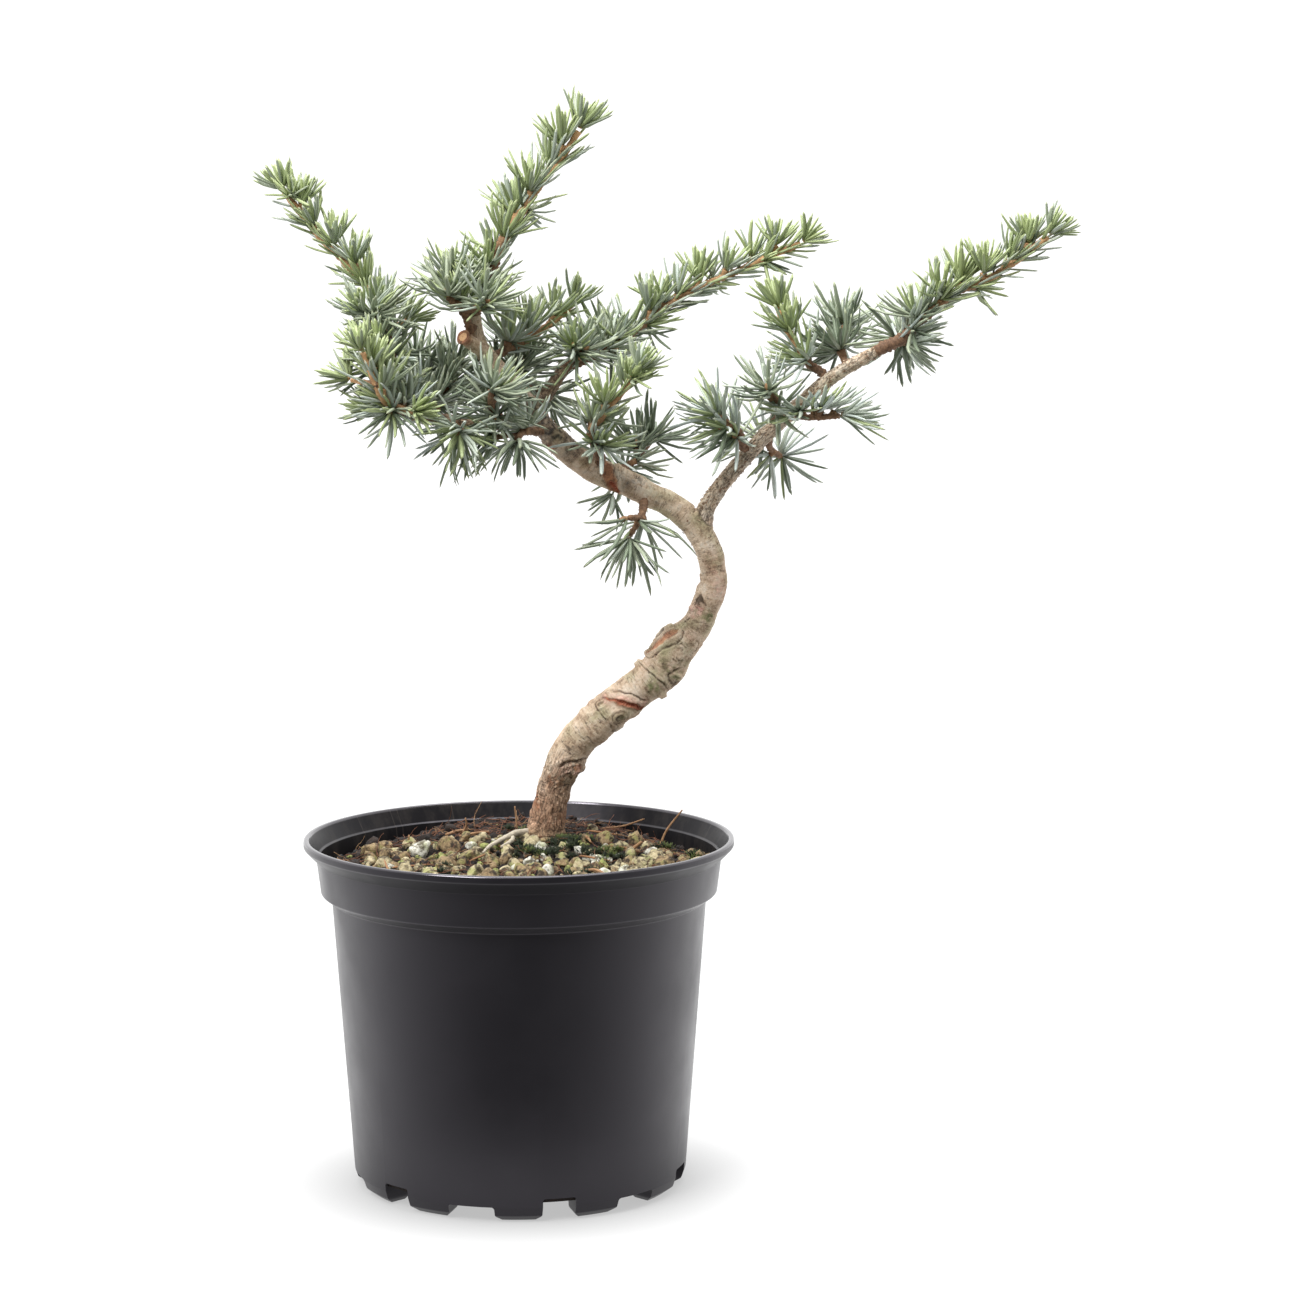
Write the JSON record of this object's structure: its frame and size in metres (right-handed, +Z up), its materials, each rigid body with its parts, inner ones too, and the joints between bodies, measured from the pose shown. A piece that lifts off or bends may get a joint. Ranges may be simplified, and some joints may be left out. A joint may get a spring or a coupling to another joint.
{
  "type": "potted blue atlas cedar",
  "caption": "Young blue cedar with a bent trained trunk and tufts of blue-green needles, growing in a round black nursery pot filled with gritty soil.",
  "frame": {"origin": "middle of the pot's flat underside, on the surface that it stands on", "axes": "+Z up, +X along the spread of the crown to the right as seen from the front, +Y from front to back"},
  "size_m": [0.3564, 0.19, 0.4856],
  "materials": {
    "pot": "black satin moulded plastic",
    "soil": "moist compost with clay granules and moss",
    "bark": "rough young bark with scars",
    "needles": "waxy blue-green needles"
  },
  "bodies": {
    "root": {"pot": "pot", "soil": "soil", "trunk": "bark", "left_bough": "bark", "right_bough": "bark", "left_limb": "bark", "inner_limb": "bark", "cut_stub": "bark", "far_left_shoot": "needles", "front_left_tuft": "needles", "lower_left_tuft": "needles", "left_back_tuft": "needles", "crown_tuft": "needles", "top_shoot": "needles", "inner_shoot": "needles", "right_top_shoot": "needles", "front_centre_tuft": "needles", "lower_centre_tuft": "needles", "centre_back_tuft": "needles", "middle_shoot": "needles", "back_fan": "needles", "hanging_tuft": "needles", "bough_left_tuft": "needles", "bough_small_tuft": "needles", "bough_upper_shoot": "needles", "bough_back_tuft": "needles", "bough_end_shoot": "needles", "bough_lower_shoot": "needles", "bough_under_tuft": "needles"}
  },
  "joints": []
}
